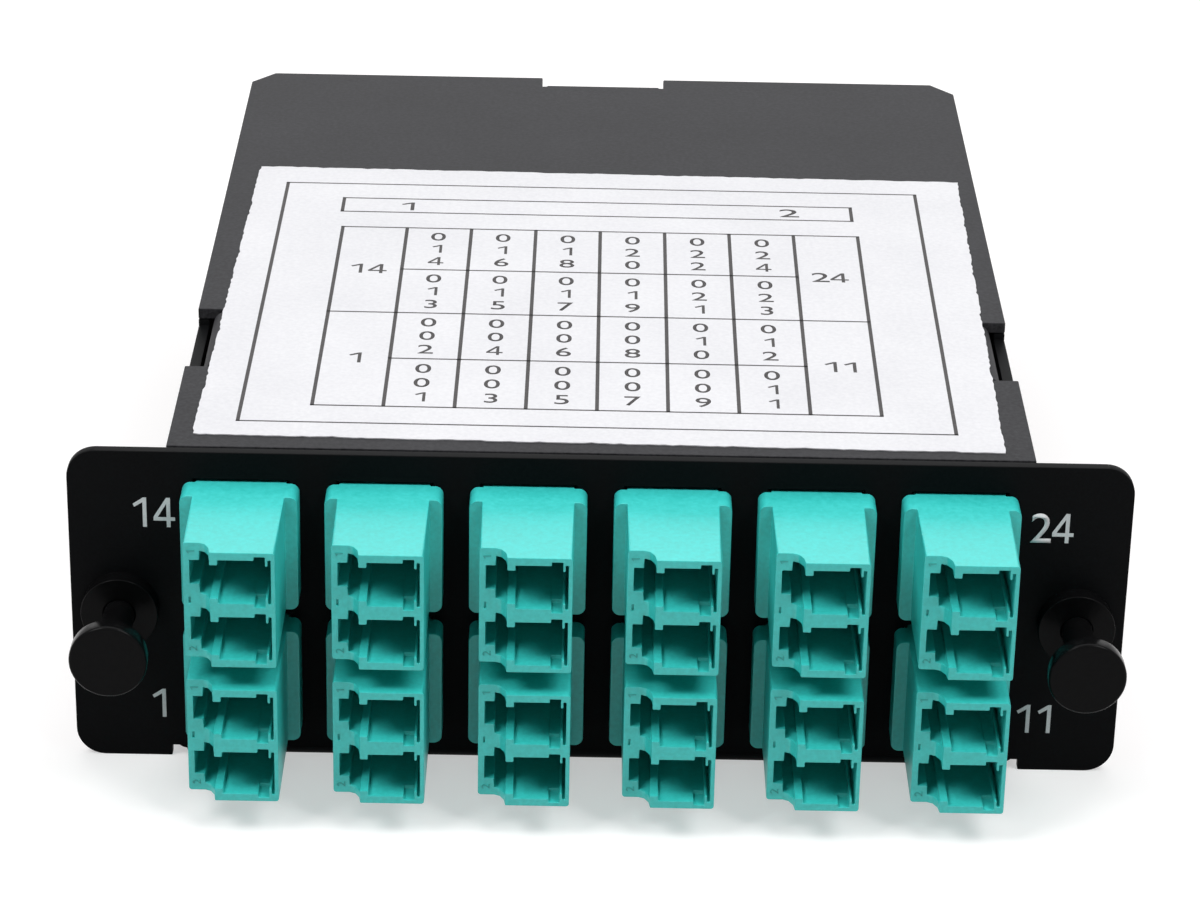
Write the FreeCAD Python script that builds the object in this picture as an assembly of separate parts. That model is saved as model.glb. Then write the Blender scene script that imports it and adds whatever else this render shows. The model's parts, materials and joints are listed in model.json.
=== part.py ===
import FreeCAD
import Part
import math
import os
from FreeCAD import Vector

# Fibre cassette: a folded sheet case that turns two 12-fibre rear connectors into
# 24 front ports.  Lengths are millimetres.  The model is drawn from the front
# panel: X to the right, Y from the panel's front face into the case, Z up from
# the lower edge of the panel's ears.  On export it moves to the row's frame,
# whose origin is the middle of the assembly at the height of that edge.

# ---- Sheet case ----------------------------------------------------------------------
sheet = 1.2
panel_width = 108.0
panel_height = 35.0
panel_corner_radius = 3.0
ear_width = 10.0
case_depth = 112.0
bend_inner_radius = 0.2
relief_width = 1.5
relief_height = 1.2
seam_gap = 0.3
lid_gap = 0.1
corner_cut_x = 2.7
corner_cut_y = 3.3

# ---- Cover tabs, and the screws of the two side tabs ---------------------------------
tab_width = 14.0
tab_relief = 0.6
tab_drop = 11.0
tab_wall_gap = 0.55
side_tab_y = 28.9
wall_dip = 0.7
screw_drop = 7.0
screw_radius = 1.2
screw_head_radius = 2.3
screw_overrun = 1.0
screw_clearance = 0.08
screw_sides = 10
screw_slot_width = 0.6
screw_slot_depth = 0.6

# ---- Paper label on the cover --------------------------------------------------------
label_side_margin = 2.6
label_length = 75.2
label_thickness = 0.1
label_front_y = 3.6
label_centre_x = 0.2
label_turn = -0.8

# ---- Duplex LC adapters: six columns, two rows ---------------------------------------
adapter_columns = 6
adapter_rows = 2
row_side_margin = 1.705
row_pitch = 15.2
rows_above_middle = 0.295
adapter_width = 9.22
adapter_height = 12.67
adapter_front = 15.8
adapter_length = 27.4
cutout_clearance = 0.3
flange_width = 11.84
flange_thickness = 3.3
flange_corner_cut = 0.5
latch_setback = 2.1
latch_land = 1.65
latch_ramp_end = 2.8
front_ramp_steps = 3
rear_ramp_steps = 1
port_pitch = 6.25
port_web = 1.4
left_wall = 0.65
right_wall = 0.42
latch_slot_half = 1.27
latch_shoulder_half = 2.3
neck_half = 1.8
neck_end = 3.6
bay_half = 2.35
bay_right = 8.25
recess_width = 1.1
recess_half = 2.75
rib_width = 0.25
rib_reach = 1.0
slit_half = 2.4

# ---- Ferrule seats, split sleeves and the plugs behind the panel ---------------------
small_round_sides = 6
boss_sides = 8
ferrule_radius = 0.625
ferrule_fit = 0.01
sleeve_wall = 0.18
sleeve_length = 6.8
sleeve_slit = 0.3
sleeve_clearance = 0.02
boss_radius = 1.45
boss_end_wall = 0.4
plug_side = 4.45
plug_nose_gap = 0.5
plug_nose_clearance = 0.2
plug_overhang = 5.0
boot_length = 6.5
boot_tip_side = 1.9
latch_thickness = 0.7
latch_width = 2.2
latch_rise = 1.5
latch_length = 9.0

# ---- Spring clips that hold the adapters in their walls ------------------------------
clip_thickness = 0.3
clip_setback = 1.8
clip_width = 5.0
clip_leg = 9.0
clip_tongue_height = 4.5
clip_tongue_flare = 1.2
clip_wall_gap = 0.1

# ---- Push plungers in their grommets -------------------------------------------------
plunger_inset = 5.1
grommet_flange_radius = 3.93
grommet_flange_thickness = 2.0
grommet_collar_radius = 2.45
grommet_leg_radius = 2.25
grommet_leg_length = 9.5
grommet_slot_width = 0.5
grommet_hole_clearance = 0.05
plunger_head_radius = 3.93
plunger_head_thickness = 2.0
plunger_head_bevel = 0.5
plunger_travel = 8.4
plunger_shaft_radius = 1.6
plunger_fit = 0.05
plunger_tip_inset = 0.6

# ---- Rear MPO adapters ---------------------------------------------------------------
mpo_spacing = 50.0
mpo_body_width = 13.0
mpo_body_height = 9.6
mpo_cutout_clearance = 0.1
mpo_inside = 12.0
mpo_outside = 12.0
mpo_flange_width = 16.0
mpo_flange_thickness = 2.0
mpo_corner_cut = 0.8
mpo_port_width = 11.0
mpo_port_height = 7.4
mpo_port_web = 1.6
mpo_window_width = 7.0
mpo_window_height = 3.2
mpo_key_width = 3.0
mpo_key_height = 0.6

# ---- Plugs, fan-outs and fibres inside -----------------------------------------------
mpo_plug_width = 10.4
mpo_plug_height = 6.8
mpo_plug_length = 17.0
mpo_boot_length = 5.0
mpo_plug_gap = 0.3
mpo_tip_width = 6.4
mpo_tip_height = 2.5
fanout_width = 9.0
fanout_height = 9.0
fanout_length = 14.0
fibre_diameter = 0.9
bundle_wide = 4
bundle_high = 3
bundle_level_step = 4.0
tail_run = 8.3
breakout_radius = 9.0
coil_sides = 16
coil_clearance = 0.5
spool_coil_gap = 1.2
spool_wall = 1.5
spool_tab_width = 6.0
spool_tab_reach = 7.0
spool_tab_clearance = 0.5

# ---- Places worked out from the sizes above ------------------------------------------
bend_outer_radius = bend_inner_radius + sheet
case_width = panel_width - 2 * ear_width
half_case = case_width / 2
cover_underside = panel_height - sheet
wall_top = cover_underside - lid_gap
fold_half = half_case - bend_outer_radius
wall_start = sheet + seam_gap
side_wall_end = case_depth - corner_cut_y
rear_wall_half = half_case - corner_cut_x
rear_wall_inside = case_depth - sheet
tab_face = half_case - sheet - tab_wall_gap
rear_tab_face = rear_wall_inside - tab_wall_gap
notch_depth = sheet + tab_wall_gap + bend_outer_radius
notch_half = tab_width / 2 + tab_relief
screw_z = panel_height - screw_drop
middle_z = panel_height / 2
plunger_x = panel_width / 2 - plunger_inset
label_width = case_width - 2 * label_side_margin
column_pitch = (case_width - 2 * row_side_margin - flange_width) / (adapter_columns - 1)
first_row_z = middle_z + rows_above_middle - ((adapter_rows - 1) * row_pitch + adapter_height) / 2
screw_length = half_case - tab_face + sheet + screw_overrun
adapter_middle = adapter_length / 2 - adapter_front
adapter_rear = adapter_length - adapter_front
port_depth = (adapter_length - port_web) / 2
bay_centre = (neck_end + bay_right) / 2
boss_half = sleeve_length / 2 + boss_end_wall
sleeve_radius = ferrule_radius + ferrule_fit + sleeve_wall
mpo_start = case_depth - mpo_inside
mpo_end = case_depth + mpo_outside
mpo_port_depth = (mpo_inside + mpo_outside - mpo_port_web) / 2
mpo_boot_end = mpo_start + mpo_port_depth - mpo_plug_gap - mpo_plug_length - mpo_boot_length
fanout_front = mpo_boot_end - fanout_length
boot_end = adapter_rear + plug_overhang + boot_length
breakout_y = boot_end + tail_run
bundle_half = bundle_wide * fibre_diameter / 2
fanout_inside = (mpo_spacing - fanout_width) / 2
# The coil runs into the straight runs beside it, unless the room between the fork in front
# and the fan-outs' inner corners behind makes it smaller.
coil_room = fanout_front - breakout_y - 2 * coil_clearance + spool_coil_gap
room_radius = (coil_room ** 2 + fanout_inside ** 2 - bundle_half ** 2) / (2 * (coil_room + bundle_half))
coil_radius = min(mpo_spacing / 2, room_radius)
spool_radius = coil_radius - bundle_half - spool_coil_gap
coil_centre_y = breakout_y + bundle_half + coil_clearance + spool_radius
front_end = -adapter_front
rear_end = mpo_end
row_shift = Vector(0, -(front_end + rear_end) / 2, 0)

X_AXIS = Vector(1, 0, 0)
Y_AXIS = Vector(0, 1, 0)
Z_AXIS = Vector(0, 0, 1)


# ---- Small drawing helpers -----------------------------------------------------------
def block(x0, x1, y0, y1, z0, z1):
    """A box between two corners."""
    return Part.makeBox(x1 - x0, y1 - y0, z1 - z0, Vector(x0, y0, z0))


def centred_block(centre, width, height, y0, y1):
    """A box round an axis along Y: its width and height about the centre, its ends at y0 and y1."""
    return block(centre.x - width / 2, centre.x + width / 2, y0, y1,
                 centre.z - height / 2, centre.z + height / 2)


def flat(points):
    """A flat face through corner points."""
    return Part.Face(Part.makePolygon(points + [points[0]]))


def ring_points(centre, radius, sides):
    """Corners of a regular polygon about an axis along Y, with a flat side down."""
    points = []
    for number in range(sides):
        angle = 2 * math.pi * (number + 0.5) / sides
        points.append(centre + Vector(radius * math.sin(angle), 0, -radius * math.cos(angle)))
    return points


def light_bar(centre, radius, sides, y0, y1):
    """A small repeated round bar along Y, drawn with flats; radius is across its corners."""
    start = Vector(centre.x, y0, centre.z)
    return flat(ring_points(start, radius, sides)).extrude(Y_AXIS * (y1 - y0))


def bar(radius, x, z, y0, y1):
    """A true round bar along Y."""
    return Part.makeCylinder(radius, y1 - y0, Vector(x, y0, z), Y_AXIS)


def taper(centre, sides_from, sides_to, y0, y1):
    """A square taper along Y, from one width and height to another."""
    wires = []
    for (width, height), y in ((sides_from, y0), (sides_to, y1)):
        corners = [
            Vector(centre.x + a * width / 2, y, centre.z + b * height / 2)
            for a, b in ((-1, -1), (1, -1), (1, 1), (-1, 1))
        ]
        wires.append(corners)
    start, end = wires
    faces = [flat(start), flat(end)]
    for i in range(4):
        j = (i + 1) % 4
        faces.append(flat([start[i], start[j], end[j], end[i]]))
    return Part.Solid(Part.Shell(faces))


def cut_all(body, tools):
    """Cut every tool from a body and tidy the faces left flush."""
    return body.cut(Part.Compound(tools)).removeSplitter()


def fuse_all(shapes):
    """Join touching shapes into one solid and tidy the faces left flush."""
    return shapes[0].fuse(shapes[1:]).removeSplitter()


def edges_along(shape, direction):
    """Straight edges along a direction."""
    return [
        edge for edge in shape.Edges
        if isinstance(edge.Curve, Part.Line)
        and abs(edge.Curve.Direction.dot(direction)) > 0.999
    ]


def save(name, shape):
    """Write one piece, moved to the row's frame."""
    piece = shape.copy()
    piece.translate(row_shift)
    piece.exportStep(os.path.join("parts", name + ".step"))


# ---- Base tray: panel, floor, side walls and rear wall folded from one sheet ---------
def bend(corner, across, up, along, length):
    """A quarter bend of the sheet.

    corner is where the two outer faces would meet, across and up lead from it
    along those faces, and along is the bend line's direction.
    """
    centre = corner + (across + up) * bend_outer_radius
    arcs = []
    for radius in (bend_outer_radius, bend_inner_radius):
        arcs.append([
            centre - across * radius,
            centre - (across + up) * (radius * math.sqrt(0.5)),
            centre - up * radius,
        ])
    outer, inner = arcs
    wire = Part.Wire([
        Part.Arc(outer[0], outer[1], outer[2]).toShape(),
        Part.LineSegment(outer[2], inner[2]).toShape(),
        Part.Arc(inner[2], inner[1], inner[0]).toShape(),
        Part.LineSegment(inner[0], outer[0]).toShape(),
    ])
    return Part.Face(wire).extrude(along * length)


def adapter_places():
    """Left edge and lower edge of every adapter, lower row first."""
    first_x = -(adapter_columns - 1) * column_pitch / 2 - adapter_width / 2
    return [
        Vector(first_x + column * column_pitch, 0, first_row_z + row * row_pitch)
        for row in range(adapter_rows)
        for column in range(adapter_columns)
    ]


def mpo_centres():
    """Centre points of the two rear adapters on the rear wall's outer face."""
    return [Vector(side * mpo_spacing / 2, case_depth, middle_z) for side in (-1, 1)]


def front_panel():
    """The panel: two ears, the cut-outs, and the reliefs beside the lower fold."""
    half = panel_width / 2
    panel = block(-half, half, 0, sheet, 0, panel_height)
    panel = panel.makeFillet(panel_corner_radius, edges_along(panel, Y_AXIS))
    cuts = [block(-fold_half, fold_half, -1, sheet + 1, -1, bend_outer_radius)]
    hole_radius = grommet_collar_radius + grommet_hole_clearance
    for side in (-1, 1):
        inner, outer = sorted((side * fold_half, side * (fold_half + relief_width)))
        cuts.append(block(inner, outer, -1, sheet + 1, -1, relief_height))
        cuts.append(bar(hole_radius, side * plunger_x, middle_z, -1, sheet + 1))
    gap = cutout_clearance
    for place in adapter_places():
        cuts.append(block(place.x - gap, place.x + adapter_width + gap, -1, sheet + 1,
                          place.z - gap, place.z + adapter_height + gap))
    return cut_all(panel, cuts)


def side_screw(side, extra, length):
    """A countersunk side screw, grown by extra: its head in the wall, and a shank beyond it."""
    rings = []
    for radius, x in ((screw_head_radius, half_case), (screw_radius, half_case - sheet),
                      (screw_radius, half_case - length)):
        ring = []
        for number in range(screw_sides):
            angle = 2 * math.pi * (number + 0.5) / screw_sides
            ring.append(Vector(side * x, side_tab_y + (radius + extra) * math.sin(angle),
                               screw_z + (radius + extra) * math.cos(angle)))
        rings.append(ring)
    faces = [flat(rings[0]), flat(rings[-1])]
    for outer, inner in zip(rings, rings[1:]):
        for i in range(screw_sides):
            j = (i + 1) % screw_sides
            faces.append(flat([outer[i], outer[j], inner[j], inner[i]]))
    return Part.Solid(Part.Shell(faces))


def side_wall(side):
    """One side wall, dipped where the cover's tab folds past it."""
    inner, outer = sorted((side * (half_case - sheet), side * half_case))
    wall = block(inner, outer, wall_start, side_wall_end, bend_outer_radius, wall_top)
    dip = block(inner - 1, outer + 1, side_tab_y - notch_half, side_tab_y + notch_half,
                wall_top - wall_dip, wall_top + 1)
    return wall.cut(dip)


def rear_wall():
    """The rear wall, dipped at the cover's tab, with the rear adapters' cut-outs."""
    wall = block(-rear_wall_half, rear_wall_half, rear_wall_inside, case_depth,
                 bend_outer_radius, wall_top)
    cuts = [block(-notch_half, notch_half, rear_wall_inside - 1, case_depth + 1,
                  wall_top - wall_dip, wall_top + 1)]
    gap = mpo_cutout_clearance
    for centre in mpo_centres():
        cuts.append(centred_block(centre, mpo_body_width + 2 * gap, mpo_body_height + 2 * gap,
                                  rear_wall_inside - 1, case_depth + 1))
    return wall.cut(Part.Compound(cuts))


def base_tray():
    """Panel, floor and three walls as one folded part."""
    radius = bend_outer_radius
    rear_fold = case_depth - radius
    floor = flat([
        Vector(-fold_half, radius, 0),
        Vector(fold_half, radius, 0),
        Vector(fold_half, side_wall_end, 0),
        Vector(rear_wall_half, rear_fold, 0),
        Vector(-rear_wall_half, rear_fold, 0),
        Vector(-fold_half, side_wall_end, 0),
    ]).extrude(Z_AXIS * sheet)
    front_bend = bend(Vector(-fold_half, 0, 0), Y_AXIS, Z_AXIS, X_AXIS, 2 * fold_half)
    rear_bend = bend(Vector(-rear_wall_half, case_depth, 0), Y_AXIS * -1, Z_AXIS,
                     X_AXIS, 2 * rear_wall_half)
    pieces = [front_panel(), floor, front_bend, rear_bend, rear_wall()]
    for side in (-1, 1):
        corner = Vector(side * half_case, wall_start, 0)
        pieces.append(bend(corner, X_AXIS * -side, Z_AXIS, Y_AXIS, side_wall_end - wall_start))
        pieces.append(side_wall(side))
    return cut_all(fuse_all(pieces), [side_screw(side, screw_clearance, screw_length) for side in (-1, 1)])


# ---- Top cover: a flat sheet with three tabs folded down inside the walls ------------
def cover_tab(face_point, outwards, along):
    """One tab: a bend from the cover's plane and a leg down behind the wall."""
    start = face_point - along * (tab_width / 2)
    tab_bend = bend(start, outwards * -1, Z_AXIS * -1, along, tab_width)
    top = start - Z_AXIS * bend_outer_radius
    leg = flat([
        top,
        top + along * tab_width,
        top + along * tab_width - outwards * sheet,
        top - outwards * sheet,
    ]).extrude(Z_AXIS * (bend_outer_radius - tab_drop))
    return [tab_bend, leg]


def top_cover():
    """The cover plate with chamfered rear corners, notched where its tabs fold down."""
    top = flat([
        Vector(-half_case, wall_start, cover_underside),
        Vector(half_case, wall_start, cover_underside),
        Vector(half_case, side_wall_end, cover_underside),
        Vector(rear_wall_half, case_depth, cover_underside),
        Vector(-rear_wall_half, case_depth, cover_underside),
        Vector(-half_case, side_wall_end, cover_underside),
    ]).extrude(Z_AXIS * sheet)
    low = cover_underside - 1
    high = panel_height + 1
    inside = half_case - notch_depth
    tab_front = side_tab_y - notch_half
    tab_back = side_tab_y + notch_half
    top = top.cut(Part.Compound([
        block(-half_case - 1, -inside, tab_front, tab_back, low, high),
        block(inside, half_case + 1, tab_front, tab_back, low, high),
        block(-notch_half, notch_half, case_depth - notch_depth, case_depth + 1, low, high),
    ]))
    pieces = [top]
    pieces += cover_tab(Vector(0, rear_tab_face, panel_height), Y_AXIS, X_AXIS)
    for side in (-1, 1):
        pieces += cover_tab(Vector(side * tab_face, side_tab_y, panel_height), X_AXIS * side, Y_AXIS)
    return cut_all(fuse_all(pieces), [side_screw(side, screw_clearance, screw_length) for side in (-1, 1)])


def cover_screws():
    """Two countersunk screws, flush with the side walls, through wall and tab."""
    screws = []
    for side in (-1, 1):
        inner, outer = sorted((side * (half_case - screw_slot_depth), side * (half_case + 1)))
        slot = block(inner, outer, side_tab_y - screw_head_radius, side_tab_y + screw_head_radius,
                     screw_z - screw_slot_width / 2, screw_z + screw_slot_width / 2)
        screws.append(cut_all(side_screw(side, 0, screw_length), [slot]))
    return Part.Compound(screws)


def cover_label():
    """The printed paper label, laid slightly askew on the cover."""
    paper = block(label_centre_x - label_width / 2, label_centre_x + label_width / 2,
                  label_front_y, label_front_y + label_length,
                  panel_height, panel_height + label_thickness)
    middle = Vector(label_centre_x, label_front_y + label_length / 2, panel_height)
    paper.rotate(middle, Z_AXIS, label_turn)
    return paper


# ---- Duplex LC adapter ---------------------------------------------------------------
def end_ramp(land_y, tip_y, steps):
    """Quarter of an ellipse, in plan, from the latch land to the full end face."""
    reach = latch_ramp_end - latch_land
    points = []
    for step in range(steps + 1):
        angle = math.radians(90 * step / steps)
        points.append(Vector(latch_land + reach * math.sin(angle),
                             tip_y + (land_y - tip_y) * math.cos(angle), 0))
    return points


def adapter_body():
    """The moulded body, with both ends set back on the latch side."""
    front = -adapter_front
    rear = adapter_rear
    outline = [Vector(0, front + latch_setback, 0)]
    outline += end_ramp(front + latch_setback, front, front_ramp_steps)
    outline.append(Vector(adapter_width, front, 0))
    outline.append(Vector(adapter_width, rear, 0))
    outline += reversed(end_ramp(rear - latch_setback, rear, rear_ramp_steps))
    outline.append(Vector(0, rear - latch_setback, 0))
    return flat(outline).extrude(Z_AXIS * adapter_height)


def adapter_flange():
    """The flange that stops against the panel's front face."""
    overhang = (flange_width - adapter_width) / 2
    flange = block(-overhang, adapter_width + overhang, -flange_thickness, 0, 0, adapter_height)
    return flange.makeChamfer(flange_corner_cut, edges_along(flange, Y_AXIS))


def port_outline(detailed):
    """Corners of one port's mouth about its own centre height, latch side to the left."""
    if detailed:
        recess_start = bay_right - recess_width
        slit_start = bay_right + rib_width
        steps = [
            (left_wall, latch_land, latch_slot_half),
            (latch_land, latch_ramp_end, latch_shoulder_half),
            (latch_ramp_end, neck_end, neck_half),
            (neck_end, recess_start, bay_half),
            (recess_start, bay_right, recess_half),
            (bay_right, slit_start, recess_half - rib_reach),
            (slit_start, adapter_width - right_wall, slit_half),
        ]
    else:
        steps = [
            (left_wall, neck_end, latch_slot_half),
            (neck_end, bay_right, bay_half),
        ]
    lower = []
    for start, end, half in steps:
        lower.append(Vector(start, 0, -half))
        lower.append(Vector(end, 0, -half))
    upper = [Vector(point.x, 0, -point.z) for point in reversed(lower)]
    return lower + upper


def port_axes():
    """Points on the two ferrule axes of an adapter."""
    middle = adapter_height / 2
    return [Vector(bay_centre, 0, middle + side * port_pitch / 2) for side in (-1, 1)]


def lc_adapter():
    """A duplex housing: two ports at each end, with a ferrule seat between them."""
    ports = []
    seats = []
    bores = []
    seat_start = adapter_middle - boss_half
    seat_end = adapter_middle + boss_half
    bore_radius = sleeve_radius + sleeve_clearance
    for axis in port_axes():
        front_mouth = flat(port_outline(True))
        front_mouth.translate(Vector(0, -adapter_front, axis.z))
        ports.append(front_mouth.extrude(Y_AXIS * port_depth))
        rear_mouth = flat(port_outline(False))
        rear_mouth.translate(Vector(0, adapter_rear, axis.z))
        ports.append(rear_mouth.extrude(Y_AXIS * -port_depth))
        seats.append(light_bar(axis, boss_radius, boss_sides, seat_start, seat_end))
        bores.append(light_bar(axis, bore_radius, small_round_sides, seat_start, seat_end))
    housing = adapter_body().fuse(adapter_flange()).cut(Part.Compound(ports))
    return cut_all(housing.fuse(seats), bores)


def alignment_sleeve(axis):
    """A split ceramic sleeve in its seat."""
    start = adapter_middle - sleeve_length / 2
    end = adapter_middle + sleeve_length / 2
    tube = light_bar(axis, sleeve_radius, small_round_sides, start, end)
    inside = light_bar(axis, ferrule_radius + ferrule_fit, small_round_sides, start, end)
    slit = block(axis.x - sleeve_slit / 2, axis.x + sleeve_slit / 2, start, end,
                 axis.z, axis.z + sleeve_radius)
    return cut_all(tube, [inside, slit])


def lc_plug(axis):
    """A short-boot plug in a rear port: hollow nose, ferrule, latch arm and boot."""
    nose = adapter_middle + port_web / 2 + plug_nose_gap
    tail = adapter_rear + plug_overhang
    seat_end = adapter_middle + boss_half
    hollow_end = seat_end + plug_nose_gap
    hollow_side = 2 * (boss_radius + plug_nose_clearance)
    body = centred_block(axis, plug_side, plug_side, nose, tail)
    body = body.cut(centred_block(axis, hollow_side, hollow_side, nose - 1, hollow_end))
    ferrule = light_bar(axis, ferrule_radius, small_round_sides, adapter_middle, hollow_end)
    boot = taper(axis, (plug_side, plug_side), (boot_tip_side, boot_tip_side),
                 tail, tail + boot_length)
    root = axis.x - plug_side / 2
    arm_end = hollow_end + latch_length
    low = axis.z - latch_width / 2
    arm = flat([
        Vector(root, hollow_end, low),
        Vector(root, hollow_end + 2 * latch_thickness, low),
        Vector(root - latch_rise + latch_thickness, arm_end, low),
        Vector(root - latch_rise, arm_end, low),
    ]).extrude(Z_AXIS * latch_width)
    return fuse_all([body, ferrule, boot, arm])


# ---- Spring clips --------------------------------------------------------------------
def spring_clip(width, height):
    """A strip bent over an adapter's body, with a tongue each side that presses on the wall.

    The body's lower left edge is at X 0, Z 0, and the wall's inner face is at Y 0.
    """
    thick = clip_thickness
    start = clip_setback
    end = clip_setback + clip_width
    low = height - clip_leg
    tongue_low = low + (clip_leg - clip_tongue_height) / 2
    pieces = [block(-thick, width + thick, start, end, height, height + thick)]
    for side, face in ((-1, 0), (1, width)):
        inner, outer = sorted((face, face + side * thick))
        pieces.append(block(inner, outer, start, end, low, height))
        reach = face + side * clip_tongue_flare
        pieces.append(flat([
            Vector(face, start, tongue_low),
            Vector(face, start + thick, tongue_low),
            Vector(face + side * thick, start + thick, tongue_low),
            Vector(reach + side * thick, clip_wall_gap, tongue_low),
            Vector(reach, clip_wall_gap, tongue_low),
        ]).extrude(Z_AXIS * clip_tongue_height))
    return fuse_all(pieces)


# ---- Plungers and grommets -----------------------------------------------------------
def grommet(x):
    """A grommet: flange on the panel, collar in its hole, and four split legs behind it."""
    end = sheet + grommet_leg_length
    flange = bar(grommet_flange_radius, x, middle_z, -grommet_flange_thickness, 0)
    collar = bar(grommet_collar_radius, x, middle_z, 0, sheet)
    legs = bar(grommet_leg_radius, x, middle_z, sheet, end)
    slot = grommet_slot_width / 2
    reach = grommet_leg_radius + 1
    z = middle_z
    return cut_all(fuse_all([flange, collar, legs]), [
        bar(plunger_shaft_radius + plunger_fit, x, z, -grommet_flange_thickness - 1, end + 1),
        block(x - slot, x + slot, sheet, end + 1, z - reach, z + reach),
        block(x - reach, x + reach, sheet, end + 1, z - slot, z + slot),
    ])


def plunger(x):
    """A plunger, pulled out: a flat head with a bevelled rim on a plain shaft."""
    back = -grommet_flange_thickness - plunger_travel
    front = back - plunger_head_thickness
    tip = sheet + grommet_leg_length - plunger_travel - plunger_tip_inset
    rim = plunger_head_radius - plunger_head_bevel
    profile = flat([
        Vector(0, front, 0),
        Vector(rim, front, 0),
        Vector(plunger_head_radius, front + plunger_head_bevel, 0),
        Vector(plunger_head_radius, back, 0),
        Vector(plunger_shaft_radius, back, 0),
        Vector(plunger_shaft_radius, tip, 0),
        Vector(0, tip, 0),
    ])
    turned = profile.revolve(Vector(0, 0, 0), Y_AXIS, 360)
    turned.translate(Vector(x, 0, middle_z))
    return turned


# ---- Rear MPO adapters ---------------------------------------------------------------
def mpo_adapter(centre):
    """A flanged rear adapter with a keyed port at each end and a window between them."""
    body = centred_block(centre, mpo_body_width, mpo_body_height, mpo_start, mpo_end)
    body = body.makeChamfer(mpo_corner_cut, edges_along(body, Y_AXIS))
    flange = centred_block(centre, mpo_flange_width, mpo_body_height,
                           case_depth, case_depth + mpo_flange_thickness)
    key_top = centre + Z_AXIS * (mpo_port_height / 2)
    cuts = [centred_block(centre, mpo_window_width, mpo_window_height, mpo_start, mpo_end)]
    for y in (mpo_start, mpo_end - mpo_port_depth):
        cuts.append(centred_block(centre, mpo_port_width, mpo_port_height, y, y + mpo_port_depth))
        cuts.append(centred_block(key_top, mpo_key_width, 2 * mpo_key_height, y, y + mpo_port_depth))
    return cut_all(body.fuse(flange), cuts)


def mpo_clip(centre):
    """The rear adapter's spring clip, inside the rear wall."""
    clip = spring_clip(mpo_body_width, mpo_body_height)
    clip.rotate(Vector(0, 0, 0), Z_AXIS, 180)
    clip.translate(Vector(centre.x + mpo_body_width / 2, rear_wall_inside,
                          centre.z - mpo_body_height / 2))
    return clip


def mpo_plug(centre):
    """The inner plug of a rear adapter, with its tapered boot."""
    back = mpo_boot_end + mpo_boot_length
    body = centred_block(centre, mpo_plug_width, mpo_plug_height, back, back + mpo_plug_length)
    boot = taper(centre, (mpo_tip_width, mpo_tip_height), (mpo_plug_width, mpo_plug_height),
                 mpo_boot_end, back)
    return fuse_all([body, boot])


def fanout_block(centre):
    """The block behind an inner plug, in which the ribbon splits into single fibres."""
    return centred_block(centre, fanout_width, fanout_height, fanout_front, mpo_boot_end)


# ---- Fibres and their spool ----------------------------------------------------------
def plan_ring(outer, inner, z0, z1):
    """A many-sided flat ring round the spool's axis."""
    rings = []
    for radius in (outer, inner):
        corners = []
        for number in range(coil_sides):
            angle = 2 * math.pi * (number + 0.5) / coil_sides
            corners.append(Vector(radius * math.cos(angle), coil_centre_y + radius * math.sin(angle), z0))
        rings.append(flat(corners).extrude(Z_AXIS * (z1 - z0)))
    return rings[0].cut(rings[1])


def fibre_spool():
    """A low round wall on the floor that keeps the slack loops wide, with four keeper tabs."""
    top = middle_z + bundle_level_step / 2 + bundle_high * fibre_diameter / 2 + spool_tab_clearance
    pieces = [plan_ring(spool_radius, spool_radius - spool_wall, sheet, top + spool_wall)]
    middle = Vector(0, coil_centre_y, 0)
    for quarter in range(4):
        tab = block(spool_radius - spool_wall, spool_radius + spool_tab_reach,
                    coil_centre_y - spool_tab_width / 2, coil_centre_y + spool_tab_width / 2,
                    top, top + spool_wall)
        tab.rotate(middle, Z_AXIS, 90 * quarter)
        pieces.append(tab)
    return fuse_all(pieces)


def breakout_bend(turn_x, side, low, high):
    """Half of the fork where a bundle turns along the row of plugs."""
    centre = Vector(turn_x + side * breakout_radius, breakout_y + breakout_radius, low)
    corners = []
    outer = breakout_radius + bundle_half
    inner = breakout_radius - bundle_half
    for radius, steps in ((outer, (0, 1, 2, 3)), (inner, (3, 2, 1, 0))):
        for step in steps:
            angle = math.radians(30 * step)
            corners.append(centre + Vector(-side * radius * math.cos(angle), -radius * math.sin(angle), 0))
    return flat(corners).extrude(Z_AXIS * (high - low))


def fibre_harness(row):
    """Twelve fibres: a slack loop round the spool, a fork, and a tail to each plug of one row.

    The fibres lie side by side, so the bundle has a rectangular section.
    """
    side = -1 if row == 0 else 1
    half = bundle_half
    level = middle_z + (row - (adapter_rows - 1) / 2) * bundle_level_step
    low = level - bundle_high * fibre_diameter / 2
    high = low + bundle_high * fibre_diameter
    turn_x = side * mpo_spacing / 2
    first = row * adapter_columns
    places = adapter_places()[first:first + adapter_columns]
    run_start = places[0].x + bay_centre - fibre_diameter
    run_end = places[-1].x + bay_centre + fibre_diameter
    pieces = [
        plan_ring(coil_radius + half, coil_radius - half, low, high),
        block(turn_x - half, turn_x + half, breakout_y + breakout_radius, fanout_front, low, high),
        breakout_bend(turn_x, -1, low, high),
        breakout_bend(turn_x, 1, low, high),
        block(run_start, run_end, breakout_y - half, breakout_y + half, low, high),
    ]
    for place in places:
        for axis in port_axes():
            start = place + axis
            rise = level - start.z
            tail = flat([
                Vector(start.x + a * fibre_diameter / 2, boot_end, start.z + b * fibre_diameter / 2)
                for a, b in ((-1, -1), (1, -1), (1, 1), (-1, 1))
            ])
            pieces.append(tail.extrude(Vector(0, breakout_y - boot_end, rise)))
    return fuse_all(pieces)


os.makedirs("parts", exist_ok=True)
save("base_tray", base_tray())
save("top_cover", top_cover())
save("cover_screws", cover_screws())
save("cover_label", cover_label())

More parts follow.
